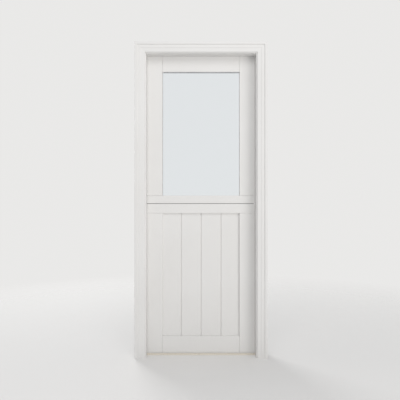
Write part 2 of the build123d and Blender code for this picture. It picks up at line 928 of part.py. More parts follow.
with BuildPart() as lock_plug:
    with BuildSketch(upright(-cam_thickness / 2)) as plug_round:
        with Locations((lock_x, lock_height)):
            Circle(plug_radius)
    extrude(plug_round.sketch, amount=-cam_thickness / 2 - cylinder_end)
    bar(
        (lock_x - cam_width / 2, -cam_thickness / 2, lock_height - cam_reach),
        (lock_x + cam_width / 2, cam_thickness / 2, lock_height),
    )
    cut_bar(
        (lock_x - keyway_width / 2, cylinder_end - keyway_depth, lock_height - keyway_height / 2),
        (lock_x + keyway_width / 2, cylinder_end, lock_height + keyway_height / 2),
    )
write(lock_plug, "lock_plug")

with BuildPart() as lock_keep:
    bar(
        (rebate_x, -forend_width / 2, bolt_z - keep_height / 2),
        (rebate_x + keep_thickness, forend_width / 2, bolt_z + keep_height / 2),
    )
    inner_half = bolt_thickness / 2 + keep_slack
    inner_rise = bolt_height / 2 + keep_slack
    bar(
        (rebate_x, -inner_half - keep_wall, bolt_z - inner_rise - keep_wall),
        (keep_end + keep_wall, inner_half + keep_wall, bolt_z + inner_rise + keep_wall),
    )
    cut_bar((rebate_x, -inner_half, bolt_z - inner_rise), (keep_end, inner_half, bolt_z + inner_rise))
write(lock_keep, "lock_keep")

# The flush bolt in the upper leaf's closing edge and its keep in the lower leaf's top

with BuildPart() as flush_bolt_plate:
    half = flush_plate_width / 2
    face = leaf_x - flush_plate_thickness
    bar((face, -half, plate_low), (leaf_x, half, plate_high))
    thumb_half = thumb_width / 2 + thumb_slack
    cut_bar(
        (face, -thumb_half, thumb_low - flush_travel - thumb_slack),
        (leaf_x, thumb_half, thumb_high + thumb_slack),
    )
write(flush_bolt_plate, "flush_bolt_plate")

with BuildPart() as flush_bolt_rod:
    top = rod_low + flush_rod_length
    drill(Plane(origin=(flush_x, 0, top)), flush_rod_radius, flush_rod_length, Mode.ADD)
    bar(
        (flush_x, -thumb_width / 2, thumb_low),
        (leaf_x - thumb_sink, thumb_width / 2, thumb_high),
    )
write(flush_bolt_rod, "flush_bolt_rod")

with BuildPart() as flush_bolt_keep:
    half = flush_keep_length / 2
    reach = flush_keep_width / 2
    bar(
        (flush_x - reach, -half, lower_top - flush_plate_thickness),
        (flush_x + reach, half, lower_top),
    )
    keep_top = Plane(origin=(flush_x, 0, lower_top))
    drill(keep_top, flush_rod_radius + flush_keep_slack, flush_plate_thickness)
write(flush_bolt_keep, "flush_bolt_keep")

# Pull handles on the outside of both leaves, each bent from one flat bar


def pull(height):
    """A bowed pull handle standing on the closing stile's outside, about a height."""
    half = pull_length / 2
    bow = leaf_out + pull_reach
    inner = half - pull_thickness
    with BuildSketch(Plane.YZ.offset(closing_x - pull_width / 2)) as outline:
        with Locations(((leaf_out + bow) / 2, height)):
            Rectangle(pull_reach, pull_length)
        for corner in ((bow, height - half), (bow, height + half)):
            fillet(outline.vertices().sort_by_distance(corner)[0], pull_bend)
        with BuildSketch(mode=Mode.SUBTRACT) as finger_gap:
            with Locations(((leaf_out + bow - pull_thickness) / 2, height)):
                Rectangle(pull_reach - pull_thickness, 2 * inner)
            for corner in ((bow - pull_thickness, height - inner), (bow - pull_thickness, height + inner)):
                fillet(finger_gap.vertices().sort_by_distance(corner)[0], pull_bend - pull_thickness)
    extrude(outline.sketch, amount=pull_width)


for name, height in (("upper_pull", upper_pull_height), ("lower_pull", lower_pull_height)):
    with BuildPart() as pull_handle:
        pull(height)
    write(pull_handle, name)
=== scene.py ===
"""A painted timber stable door: its two leaves, frame and hardware dressed for close viewing.

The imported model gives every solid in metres, with the room side towards -Y and Z up. This script
gives each solid its finish, eases the timbers where they meet, adds the small fasteners, and sets up
a pale studio with a camera square to the door.
"""

import logging
import math
from dataclasses import dataclass
from enum import Enum
from typing import Iterable

import bmesh
import bpy
from mathutils import Matrix, Vector


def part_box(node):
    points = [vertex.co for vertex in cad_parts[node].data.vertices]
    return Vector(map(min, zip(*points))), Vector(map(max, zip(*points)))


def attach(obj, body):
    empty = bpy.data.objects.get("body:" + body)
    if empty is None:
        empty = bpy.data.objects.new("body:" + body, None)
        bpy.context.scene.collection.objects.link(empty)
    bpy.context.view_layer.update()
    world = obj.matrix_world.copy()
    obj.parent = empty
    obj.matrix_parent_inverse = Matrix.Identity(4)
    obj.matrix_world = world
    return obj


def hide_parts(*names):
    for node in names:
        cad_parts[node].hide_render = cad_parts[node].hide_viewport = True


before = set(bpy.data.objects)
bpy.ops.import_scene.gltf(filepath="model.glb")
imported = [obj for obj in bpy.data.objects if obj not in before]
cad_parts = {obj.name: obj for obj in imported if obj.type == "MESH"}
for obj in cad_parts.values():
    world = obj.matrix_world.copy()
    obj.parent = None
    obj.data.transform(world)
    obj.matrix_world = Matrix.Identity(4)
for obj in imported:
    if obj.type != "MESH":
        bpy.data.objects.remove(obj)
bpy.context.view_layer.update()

LOG = logging.getLogger("stable_door")

Colour = tuple[float, float, float]
Point = tuple[float, float, float]
Span = tuple[float, float]

FULL: Span = (0.0, 1.0)

# Blender's numbers for the sockets of a mix node that blends colours
MIX_FACTOR, MIX_FIRST, MIX_SECOND, MIX_RESULT = 0, 6, 7, 2


class Grain(Enum):
    """The way a length of timber or metal runs, which its fine marks follow."""

    UPRIGHT = "upright"
    LEVEL = "level"

    def stretch(self, draw: float) -> Point:
        """Draw a noise out along the grain, the more so the smaller the factor is."""
        return (1.0, 1.0, draw) if self is Grain.UPRIGHT else (draw, 1.0, 1.0)


class Axis(Enum):
    """The axis that a joint is square to, as its place in a vector."""

    ACROSS = 0
    UPWARD = 2


class Facing(Enum):
    """The way the head of a screw faces."""

    RIGHT = (1.0, 0.0, 0.0)
    LEFT = (-1.0, 0.0, 0.0)
    UP = (0.0, 0.0, 1.0)


class Half(Enum):
    """The half of a hinge that a flap is."""

    FRAME = "frame"
    LEAF = "leaf"


class Graph:
    """The nodes of one material, with short calls for those that the finishes share."""

    def __init__(self, name: str) -> None:
        """Start a material that holds one surface shader.

        Args:
            name: The material's name.
        """
        self.material: bpy.types.Material = bpy.data.materials.new(name)
        self.material.use_nodes = True
        self.nodes = self.material.node_tree.nodes
        self.links = self.material.node_tree.links
        self.nodes.clear()
        self.shader = self.nodes.new("ShaderNodeBsdfPrincipled")
        self.output = self.nodes.new("ShaderNodeOutputMaterial")
        self.links.new(self.shader.outputs["BSDF"], self.output.inputs["Surface"])
        self.place = self.nodes.new("ShaderNodeTexCoord").outputs["Object"]

    def fix(self, **values: float) -> None:
        """Set numbers on the shader's own sockets, an underscore standing for a space."""
        for name, value in values.items():
            self.shader.inputs[name.replace("_", " ")].default_value = value

    def noise(self, scale: float, detail: float,
              stretch: Point = (1.0, 1.0, 1.0)) -> bpy.types.NodeSocket:
        """Read a noise in the door's own metres.

        Args:
            scale: How many times the noise repeats in a metre.
            detail: How many finer layers it has.
            stretch: Factors on the three axes; a small one draws the noise out along it.

        Returns:
            The noise's value, from 0 to 1.
        """
        mapping = self.nodes.new("ShaderNodeMapping")
        mapping.inputs["Scale"].default_value = stretch
        self.links.new(self.place, mapping.inputs["Vector"])
        texture = self.nodes.new("ShaderNodeTexNoise")
        texture.inputs["Scale"].default_value = scale
        texture.inputs["Detail"].default_value = detail
        self.links.new(mapping.outputs["Vector"], texture.inputs["Vector"])
        return texture.outputs["Fac"]

    def spread(self, value: bpy.types.NodeSocket, source: Span, target: Span) -> bpy.types.NodeSocket:
        """Carry a value from one range over to another, held at its ends.

        Args:
            value: The value to carry over.
            source: The range that counts of it.
            target: The range that it is carried to.

        Returns:
            The new value.
        """
        ranged = self.nodes.new("ShaderNodeMapRange")
        ranged.inputs["From Min"].default_value, ranged.inputs["From Max"].default_value = source
        ranged.inputs["To Min"].default_value, ranged.inputs["To Max"].default_value = target
        self.links.new(value, ranged.inputs["Value"])
        return ranged.outputs["Result"]

    def mix(self, factor: bpy.types.NodeSocket, first: Colour, second: Colour) -> bpy.types.NodeSocket:
        """Blend two colours.

        Args:
            factor: How much of the second colour shows, from 0 to 1.
            first: The colour at 0.
            second: The colour at 1.

        Returns:
            The blended colour.
        """
        blend = self.nodes.new("ShaderNodeMix")
        blend.data_type = "RGBA"
        self.links.new(factor, blend.inputs[MIX_FACTOR])
        blend.inputs[MIX_FIRST].default_value = (*first, 1.0)
        blend.inputs[MIX_SECOND].default_value = (*second, 1.0)
        return blend.outputs[MIX_RESULT]

    def colour(self, source: bpy.types.NodeSocket) -> None:
        """Give the shader its colour."""
        self.links.new(source, self.shader.inputs["Base Color"])

    def rough(self, source: bpy.types.NodeSocket) -> None:
        """Give the shader its roughness."""
        self.links.new(source, self.shader.inputs["Roughness"])

    def relief(self, *layers: tuple[bpy.types.NodeSocket, float]) -> None:
        """Raise the surface by several layers, one over the other.

        Args:
            layers: Each a value from 0 to 1 and the height in metres that 1 stands for.
        """
        below = None
        for height, distance in layers:
            bump = self.nodes.new("ShaderNodeBump")
            bump.inputs["Strength"].default_value = 1.0
            bump.inputs["Distance"].default_value = distance
            self.links.new(height, bump.inputs["Height"])
            if below is not None:
                self.links.new(below, bump.inputs["Normal"])
            below = bump.outputs["Normal"]
        if below is not None:
            self.links.new(below, self.shader.inputs["Normal"])


@dataclass(frozen=True)
class Paint:
    """Brushed satin paint over planed timber."""

    colour: Colour
    shade: Colour
    grain: Grain
    draw: float = 0.012
    cloud_scale: float = 3.0
    cloud_range: Span = (0.35, 0.7)
    stroke_scale: float = 700.0
    stroke_range: Span = (0.3, 0.7)
    stroke_height: float = 0.00003
    timber_scale: float = 120.0
    timber_height: float = 0.00006
    stipple_scale: float = 1500.0
    stipple_height: float = 0.000008
    roughness: Span = (0.36, 0.46)
    refraction: float = 1.5
    coat: float = 0.15
    coat_roughness: float = 0.2

    def material(self, name: str) -> bpy.types.Material:
        """Make the paint's material.

        Args:
            name: The material's name.

        Returns:
            The material, whose brush marks run along the grain.
        """
        graph = Graph(name)
        along = self.grain.stretch(self.draw)
        cloud = graph.noise(self.cloud_scale, detail=3.0)
        strokes = graph.noise(self.stroke_scale, detail=2.0, stretch=along)
        timber = graph.noise(self.timber_scale, detail=4.0, stretch=along)
        stipple = graph.noise(self.stipple_scale, detail=1.0)
        graph.colour(graph.mix(graph.spread(cloud, self.cloud_range, FULL), self.colour, self.shade))
        graph.rough(graph.spread(strokes, self.stroke_range, self.roughness))
        graph.relief((timber, self.timber_height), (strokes, self.stroke_height),
                     (stipple, self.stipple_height))
        graph.fix(IOR=self.refraction, Coat_Weight=self.coat, Coat_Roughness=self.coat_roughness)
        return graph.material


@dataclass(frozen=True)
class Coating:
    """A scuffed satin coating on a metal threshold."""

    colour: Colour
    scuff: Colour
    draw: float = 0.35
    scuff_scale: float = 260.0
    scuff_range: Span = (0.58, 0.72)
    scuff_strength: Span = (0.0, 0.55)
    scuff_height: float = 0.00003
    grime_scale: float = 14.0
    grime_range: Span = (0.3, 0.7)
    roughness: Span = (0.3, 0.55)
    refraction: float = 1.45

    def material(self, name: str) -> bpy.types.Material:
        """Make the coating's material.

        Args:
            name: The material's name.

        Returns:
            The material, with long faint scuffs across the doorway.
        """
        graph = Graph(name)
        scuffs = graph.noise(self.scuff_scale, detail=5.0, stretch=Grain.LEVEL.stretch(self.draw))
        grime = graph.noise(self.grime_scale, detail=4.0)
        marks = graph.spread(scuffs, self.scuff_range, self.scuff_strength)
        graph.colour(graph.mix(marks, self.colour, self.scuff))
        graph.rough(graph.spread(grime, self.grime_range, self.roughness))
        graph.relief((scuffs, self.scuff_height))
        graph.fix(IOR=self.refraction)
        return graph.material


@dataclass(frozen=True)
class Metal:
    """Satin metal with fine polishing lines."""

    colour: Colour
    tarnish: Colour
    grain: Grain
    draw: float = 0.02
    line_scale: float = 2600.0
    line_range: Span = (0.25, 0.75)
    line_height: float = 0.000006
    dull_scale: float = 45.0
    dull_range: Span = (0.45, 0.75)
    dull_strength: Span = (0.0, 0.6)
    dull_height: float = 0.00002
    roughness: Span = (0.24, 0.4)

    def material(self, name: str) -> bpy.types.Material:
        """Make the metal's material.

        Args:
            name: The material's name.

        Returns:
            The material, whose polishing lines run along the grain.
        """
        graph = Graph(name)
        lines = graph.noise(self.line_scale, detail=2.0, stretch=self.grain.stretch(self.draw))
        dulling = graph.noise(self.dull_scale, detail=4.0)
        dulled = graph.spread(dulling, self.dull_range, self.dull_strength)
        graph.colour(graph.mix(dulled, self.colour, self.tarnish))
        graph.rough(graph.spread(lines, self.line_range, self.roughness))
        graph.relief((lines, self.line_height), (dulling, self.dull_height))
        graph.fix(Metallic=1.0)
        return graph.material


@dataclass(frozen=True)
class Moulded:
    """Rubber or plastic, moulded or drawn in lengths."""

    colour: Colour
    bloom: Colour
    bloom_scale: float = 35.0
    bloom_range: Span = (0.45, 0.8)
    bloom_strength: Span = (0.0, 0.7)
    skin_scale: float = 2200.0
    skin_height: float = 0.00002
    dull_range: Span = (0.3, 0.7)
    roughness: Span = (0.55, 0.75)

    def material(self, name: str) -> bpy.types.Material:
        """Make the moulded material.

        Args:
            name: The material's name.

        Returns:
            The material, with a faint bloom and a fine skin.
        """
        graph = Graph(name)
        bloom = graph.noise(self.bloom_scale, detail=4.0)
        skin = graph.noise(self.skin_scale, detail=1.0)
        bloomed = graph.spread(bloom, self.bloom_range, self.bloom_strength)
        graph.colour(graph.mix(bloomed, self.colour, self.bloom))
        graph.rough(graph.spread(bloom, self.dull_range, self.roughness))
        graph.relief((skin, self.skin_height))
        return graph.material


@dataclass(frozen=True)
class Glass:
    """Clear float glass with the faint waviness of a large pane."""

    tint: Colour
    smear_scale: float = 9.0
    smear_range: Span = (0.5, 0.8)
    roughness: Span = (0.0, 0.02)
    wave_scale: float = 4.0
    wave_height: float = 0.00002
    refraction: float = 1.5

    def material(self, name: str) -> bpy.types.Material:
        """Make the glass's material.

        Args:
            name: The material's name.

        Returns:
            The material, clear and barely wavy.
        """
        graph = Graph(name)
        smear = graph.noise(self.smear_scale, detail=3.0)
        graph.rough(graph.spread(smear, self.smear_range, self.roughness))
        graph.relief((graph.noise(self.wave_scale, detail=0.0), self.wave_height))
        graph.shader.inputs["Base Color"].default_value = (*self.tint, 1.0)
        graph.fix(IOR=self.refraction, Transmission_Weight=1.0)
        return graph.material


def dress(nodes: Iterable[str], finish: bpy.types.Material) -> None:
    """Give solids their finish.

    Args:
        nodes: The solids' names.
        finish: The material that each takes.
    """
    for name in nodes:
        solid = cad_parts[name]
        if not solid.material_slots:
            solid.data.materials.append(finish)
        for holder in solid.material_slots:
            holder.material = finish
        LOG.info("%s is finished in %s", name, finish.name)


@dataclass(frozen=True)
class Fastener:
    """The head of a countersunk screw with a cross recess, standing a hair proud of its plate."""

    radius: float = 0.004
    edge: float = 0.0005
    rise: float = 0.0005
    shoulder_share: float = 0.4
    sunk: float = 0.0001
    arm: float = 0.0022
    half_slot: float = 0.00045
    taper: float = 0.75
    depth: float = 0.00042
    segments: int = 28
    first_turn: float = 0.7
    turn_step: float = 2.4

    def _loop(self, mesh: bmesh.types.BMesh, radius: float, height: float) -> list[bmesh.types.BMVert]:
        """Make one ring of points round the head."""
        turns = (2 * math.pi * step / self.segments for step in range(self.segments))
        return [mesh.verts.new((radius * math.cos(a), radius * math.sin(a), height)) for a in turns]

    def _cross(self, mesh: bmesh.types.BMesh, scale: float, height: float) -> list[bmesh.types.BMVert]:
        """Make the twelve corners of the recess.

        Args:
            mesh: The mesh that gathers the heads.
            scale: The corners' size against the recess's mouth.
            height: How far above the plate they lie.

        Returns:
            The corners, in order round the recess.
        """
        arm, half = self.arm * scale, self.half_slot * scale
        corners = []
        for quarter in range(4):
            turn = Matrix.Rotation(quarter * math.pi / 2, 3, "Z")
            for point in ((half, half), (arm, half), (arm, -half)):
                corners.append(turn @ Vector((*point, 0.0)))
        ordered = sorted(corners, key=lambda p: (math.atan2(p.y, p.x), p.length))
        return [mesh.verts.new((p.x, p.y, height)) for p in ordered]

    @staticmethod
    def _bridge(mesh: bmesh.types.BMesh, low: list[bmesh.types.BMVert],
                high: list[bmesh.types.BMVert]) -> None:
        """Join two loops of as many points by faces.

        Args:
            mesh: The mesh that gathers the heads.
            low: The points of the first loop.
            high: The points of the second loop, each facing one of the first.
        """
        count = len(low)
        for step in range(count):
            after = (step + 1) % count
            mesh.faces.new((low[step], low[after], high[after], high[step]))

    def head(self, mesh: bmesh.types.BMesh, place: Matrix) -> None:
        """Add one head to a mesh.

        Args:
            mesh: The mesh that gathers the heads.
            place: Where the head's middle lies on its plate, with Z out of it.
        """
        before = set(mesh.verts)
        foot = self._loop(mesh, self.radius, -self.sunk)
        shoulder = self._loop(mesh, self.radius, self.rise * self.shoulder_share)
        crown = self._loop(mesh, self.radius - self.edge, self.rise)
        lip = self._cross(mesh, 1.0, self.rise)
        floor = self._cross(mesh, self.taper, self.rise - self.depth)
        self._bridge(mesh, foot, shoulder)
        self._bridge(mesh, shoulder, crown)
        self._bridge(mesh, lip, floor)
        mesh.faces.new(floor)
        mesh.faces.new(foot)
        rim = []
        for loop in (crown, lip):
            for step, point in enumerate(loop):
                after = loop[(step + 1) % len(loop)]
                rim.append(mesh.edges.get((point, after)) or mesh.edges.new((point, after)))
        bmesh.ops.triangle_fill(mesh, use_beauty=True, use_dissolve=False, edges=rim)
        added = [point for point in mesh.verts if point not in before]
        bmesh.ops.transform(mesh, matrix=place, verts=added)


SMALL_SCREW = Fastener(radius=0.003, arm=0.0017, half_slot=0.00035)


def seat(point: Vector, facing: Facing, turn: float) -> Matrix:
    """Work out where a head lies.

    Args:
        point: The middle of its plate's hole, on the plate's face.
        facing: The way the head faces.
        turn: The angle that the screw came to rest at, in radians.

    Returns:
        The placing of the head, whose own Z faces out.
    """
    outward = Vector(facing.value).to_track_quat("Z", "Y").to_matrix().to_4x4()
    return Matrix.Translation(point) @ outward @ Matrix.Rotation(turn, 4, "Z")


def gather(name: str, mesh: bmesh.types.BMesh, finish: bpy.types.Material, body: str) -> bpy.types.Object:
    """Turn a finished mesh into a piece that rides on a body.

    Args:
        name: The piece's name.
        mesh: Its faces, in the door's own metres.
        finish: Its material.
        body: The body that it rides on.

    Returns:
        The piece.
    """
    bmesh.ops.recalc_face_normals(mesh, faces=mesh.faces)
    data = bpy.data.meshes.new(name)
    mesh.to_mesh(data)
    mesh.free()
    data.materials.append(finish)
    piece = bpy.data.objects.new(name, data)
    bpy.context.scene.collection.objects.link(piece)
    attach(piece, body)
    LOG.info("%s rides on %s with %d faces", name, body, len(data.polygons))
    return piece


def screws(name: str, places: Iterable[tuple[Vector, Facing]], finish: bpy.types.Material, body: str,
           pattern: Fastener = Fastener()) -> bpy.types.Object:
    """Make a group of screw heads.

    Args:
        name: The group's name.
        places: Each head's place on its plate and the way it faces.
        finish: The screws' material.
        body: The body that they ride on.
        pattern: The kind of head.

    Returns:
        The group, as one piece.
    """
    mesh = bmesh.new()
    for index, (point, facing) in enumerate(places):
        turn = pattern.first_turn + pattern.turn_step * index
        pattern.head(mesh, seat(point, facing, turn))
    return gather(name, mesh, finish, body)


@dataclass(frozen=True)
class Shoulder:
    """The plane where a timber meets its neighbour.

    Level is the plane's place on its axis. Inward is 1 or -1, the way the timber runs on from it.
    """

    axis: Axis
    level: float
    inward: int


@dataclass(frozen=True)
class JointLine:
    """The fine line that a joint between two timbers leaves in the paint."""

    width: float = 0.0015
    depth: float = 0.0028
    touch: float = 0.00001
    weld: float = 0.000001

    def open(self, name: str, shoulders: Iterable[Shoulder], finish: bpy.types.Material,
             body: str) -> bpy.types.Object:
        """Stand a copy of a timber in for its solid, eased at its joints on both faces.

        Args:
            name: The timber's solid.
            shoulders: The planes that it is eased at.
            finish: The timber's paint.
            body: The body that it rides on.

        Returns:
            The eased timber.
        """
        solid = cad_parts[name]
        low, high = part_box(name)
        mesh = bmesh.new()
        mesh.from_mesh(solid.data)
        mesh.transform(solid.matrix_world)
        bmesh.ops.remove_doubles(mesh, verts=mesh.verts, dist=self.weld)
        for shoulder in shoulders:
            axis = shoulder.axis.value
            start, across = Vector(), Vector()
            start[axis] = shoulder.level + shoulder.inward * self.width
            across[axis] = 1.0
            everything = [*mesh.verts, *mesh.edges, *mesh.faces]
            bmesh.ops.bisect_plane(mesh, geom=everything, plane_co=start, plane_no=across)
            for point in mesh.verts:
                distance = (point.co[axis] - shoulder.level) * shoulder.inward
                if -self.touch < distance < self.width - self.touch:
                    sink = self.depth * (1.0 - distance / self.width)
                    point.co.y = min(max(point.co.y, low.y + sink), high.y - sink)
        for face in mesh.faces:
            face.smooth = False
        piece = gather(f"{name}_eased", mesh, finish, body)
        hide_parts(name)
        return piece


@dataclass
class Finishes:
    """Every finish on the door, made once."""

    leaf_white: Colour = (0.790, 0.780, 0.764)
    leaf_shade: Colour = (0.770, 0.758, 0.740)
    trim_white: Colour = (0.797, 0.788, 0.774)
    trim_shade: Colour = (0.777, 0.766, 0.750)
    cream: Colour = (0.74, 0.69, 0.60)
    cream_scuff: Colour = (0.5, 0.46, 0.4)
    steel: Colour = (0.60, 0.59, 0.57)
    steel_tarnish: Colour = (0.42, 0.41, 0.40)
    yellow_brass: Colour = (0.72, 0.54, 0.27)
    brass_tarnish: Colour = (0.45, 0.32, 0.16)
    aluminium: Colour = (0.66, 0.67, 0.68)
    aluminium_tarnish: Colour = (0.5, 0.5, 0.5)
    black_rubber: Colour = (0.035, 0.032, 0.028)
    rubber_bloom: Colour = (0.09, 0.085, 0.08)
    grey_tape: Colour = (0.55, 0.55, 0.53)
    tape_bloom: Colour = (0.48, 0.48, 0.46)
    green_plastic: Colour = (0.03, 0.09, 0.05)
    plastic_bloom: Colour = (0.05, 0.12, 0.08)
    glass_tint: Colour = (0.955, 0.975, 0.99)

    def __post_init__(self) -> None:
        """Make the materials."""
        leaf = (self.leaf_white, self.leaf_shade)
        trim = (self.trim_white, self.trim_shade)
        steel = (self.steel, self.steel_tarnish)
        brass = (self.yellow_brass, self.brass_tarnish)
        aluminium = (self.aluminium, self.aluminium_tarnish)
        self.leaf_upright = Paint(*leaf, Grain.UPRIGHT).material("leaf_paint_upright")
        self.leaf_level = Paint(*leaf, Grain.LEVEL).material("leaf_paint_level")
        self.trim_upright = Paint(*trim, Grain.UPRIGHT).material("trim_paint_upright")
        self.trim_level = Paint(*trim, Grain.LEVEL).material("trim_paint_level")
        self.threshold = Coating(self.cream, self.cream_scuff).material("threshold_coating")
        self.steel_upright = Metal(*steel, Grain.UPRIGHT).material("satin_steel_upright")
        self.steel_level = Metal(*steel, Grain.LEVEL).material("satin_steel_level")
        self.brass = Metal(*brass, Grain.LEVEL).material("lock_brass")
        self.spacer = Metal(*aluminium, Grain.UPRIGHT).material("spacer_aluminium")
        self.seal = Moulded(self.black_rubber, self.rubber_bloom).material("seal_rubber")
        self.tape = Moulded(self.grey_tape, self.tape_bloom).material("glazing_tape")
        self.block = Moulded(self.green_plastic, self.plastic_bloom).material("setting_block_plastic")
        self.glass = Glass(self.glass_tint).material("pane_glass")


@dataclass
class DoorFrame:
    """The jambs and head with their planted stops, the architrave, the threshold and the seals."""

    finishes: Finishes

    def build(self) -> None:
        """Finish the frame's solids."""
        kit = self.finishes
        dress(("hinge_jamb", "closing_jamb", "hinge_stop", "closing_stop"), kit.trim_upright)
        dress(("architrave_left", "architrave_right"), kit.trim_upright)
        dress(("frame_head", "head_stop", "architrave_head"), kit.trim_level)
        dress(("threshold",), kit.threshold)
        dress(("hinge_jamb_seal", "closing_jamb_seal", "head_seal", "threshold_seal"), kit.seal)


@dataclass
class UpperLeaf:
    """The glazed upper leaf and its flush bolt."""

    finishes: Finishes
    joint: JointLine = JointLine()
    screw: Fastener = SMALL_SCREW
    screw_inset: float = 0.008

    def build(self) -> None:
        """Finish the leaf's timber, glass and flush bolt."""
        kit = self.finishes
        dress(("upper_hinge_stile", "upper_closing_stile"), kit.leaf_upright)
        dress(("glazing_bead_left", "glazing_bead_right"), kit.leaf_upright)
        dress(("upper_meeting_rail", "upper_top_rail"), kit.leaf_level)
        dress(("glazing_bead_bottom", "glazing_bead_top"), kit.leaf_level)
        rail_ends = (Shoulder(Axis.ACROSS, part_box("upper_hinge_stile")[1].x, 1),
                     Shoulder(Axis.ACROSS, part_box("upper_closing_stile")[0].x, -1))
        self.joint.open("upper_top_rail", rail_ends, kit.leaf_level, "upper_leaf")
        foot = Shoulder(Axis.UPWARD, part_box("upper_meeting_rail")[1].z, 1)
        for stile in ("upper_hinge_stile", "upper_closing_stile"):
            self.joint.open(stile, (foot,), kit.leaf_upright, "upper_leaf")
        dress(("inner_pane", "outer_pane"), kit.glass)
        dress(("glazing_gasket",), kit.tape)
        dress(("spacer_bar",), kit.spacer)
        dress(("setting_blocks",), kit.block)
        dress(("flush_bolt_plate", "flush_bolt_rod", "upper_pull"), kit.steel_upright)
        low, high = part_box("flush_bolt_plate")
        middle = (low.y + high.y) / 2
        heights = (low.z + self.screw_inset, high.z - self.screw_inset)
        places = [(Vector((high.x, middle, z)), Facing.RIGHT) for z in heights]
        screws("flush_bolt_plate_screws", places, kit.steel_level, "upper_leaf", self.screw)


@dataclass
class LowerLeaf:
    """The boarded lower leaf, its weatherboard and its lock."""

    finishes: Finishes
    boards: int = 4
    joint: JointLine = JointLine()
    screw: Fastener = SMALL_SCREW
    forend_inset: float = 0.01
    keep_inset: float = 0.01
    flush_inset: float = 0.006

    def build(self) -> None:
        """Finish the leaf's timber, seal, lock and keeps."""
        kit = self.finishes
        dress(("lower_hinge_stile", "lower_closing_stile"), kit.leaf_upright)
        dress((f"panel_board_{number}" for number in range(1, self.boards + 1)), kit.leaf_upright)
        dress(("lower_meeting_rail", "lower_bottom_rail", "weatherboard"), kit.leaf_level)
        rail_ends = (Shoulder(Axis.ACROSS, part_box("lower_hinge_stile")[1].x, 1),
                     Shoulder(Axis.ACROSS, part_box("lower_closing_stile")[0].x, -1))
        self.joint.open("lower_bottom_rail", rail_ends, kit.leaf_level, "lower_leaf")
        crown = Shoulder(Axis.UPWARD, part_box("lower_meeting_rail")[0].z, -1)
        for stile in ("lower_hinge_stile", "lower_closing_stile"):
            self.joint.open(stile, (crown,), kit.leaf_upright, "lower_leaf")
        dress(("meeting_seal",), kit.seal)
        dress(("lock_case", "lock_keep", "lower_pull"), kit.steel_upright)
        dress(("flush_bolt_keep",), kit.steel_level)
        dress(("lock_bolt", "lock_cylinder", "lock_plug"), kit.brass)
        self.edge_screws("lock_case_screws", "lock_case", Facing.RIGHT, self.forend_inset, "lower_leaf")
        self.edge_screws("lock_keep_screws", "lock_keep", Facing.LEFT, self.keep_inset, "frame")
        low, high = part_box("flush_bolt_keep")
        middle = (low.x + high.x) / 2
        ends = (low.y + self.flush_inset, high.y - self.flush_inset)
        places = [(Vector((middle, y, high.z)), Facing.UP) for y in ends]
        screws("flush_bolt_keep_screws", places, kit.steel_level, "lower_leaf", self.screw)

    def edge_screws(self, name: str, plate: str, facing: Facing, inset: float,
                    body: str) -> bpy.types.Object:
        """Put a screw near each end of an upright plate in an edge.

        Args:
            name: The group's name.
            plate: The plate's solid.
            facing: The way its face looks.
            inset: How far each screw is from the plate's end.
            body: The body that carries it.

        Returns:
            The two screws, as one piece.
        """
        low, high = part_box(plate)
        face = high.x if facing is Facing.RIGHT else low.x
        middle = (low.y + high.y) / 2
        places = [(Vector((face, middle, z)), facing) for z in (low.z + inset, high.z - inset)]
        return screws(name, places, self.finishes.steel_level, body, self.screw)


@dataclass
class Hinges:
    """The four butt hinges, with their screws."""

    finishes: Finishes
    lower: tuple[int, ...] = (1, 2)
    upper: tuple[int, ...] = (3, 4)
    outer_face: float = 0.022
    flap_depth: float = 0.030
    pitch: float = 0.026
    stagger: float = 0.0045
    per_flap: int = 4

    def build(self) -> None:
        """Finish the flaps and pins and put in every screw."""
        kit = self.finishes
        numbers = (*self.lower, *self.upper)
        dress((f"hinge_{number}_frame_flap" for number in numbers), kit.steel_upright)
        dress((f"hinge_{number}_leaf_flap" for number in numbers), kit.steel_upright)
        dress(("hinge_pins",), kit.steel_upright)
        for number in numbers:
            leaf = "lower_leaf" if number in self.lower else "upper_leaf"
            self.flap_screws(number, Half.FRAME, "frame")
            self.flap_screws(number, Half.LEAF, leaf)

    def flap_screws(self, number: int, half: Half, body: str) -> bpy.types.Object:
        """Put one flap's screws in, staggered either side of its middle.

        Args:
            number: The hinge's number, from the lowest.
            half: The half of the hinge that the flap is.
            body: The body that carries it.

        Returns:
            The flap's screws, as one piece.
        """
        part = half.value
        low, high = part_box(f"hinge_{number}_{part}_flap")
        if half is Half.FRAME:
            face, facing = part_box("hinge_jamb")[1].x, Facing.RIGHT
        else:
            face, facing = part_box("lower_hinge_stile")[0].x, Facing.LEFT
        middle = self.outer_face - self.flap_depth / 2
        centre = (low.z + high.z) / 2
        places = []
        for index in range(self.per_flap):
            rise = (index - (self.per_flap - 1) / 2) * self.pitch
            shift = self.stagger if index % 2 else -self.stagger
            places.append((Vector((face, middle + shift, centre + rise)), facing))
        return screws(f"hinge_{number}_{part}_screws", places, self.finishes.steel_level, body)


@dataclass(frozen=True)
class Lamp:
    """One soft square lamp."""

    name: str
    place: Point
    target: Point
    size: float
    energy: float
    colour: Colour
    in_gloss: bool


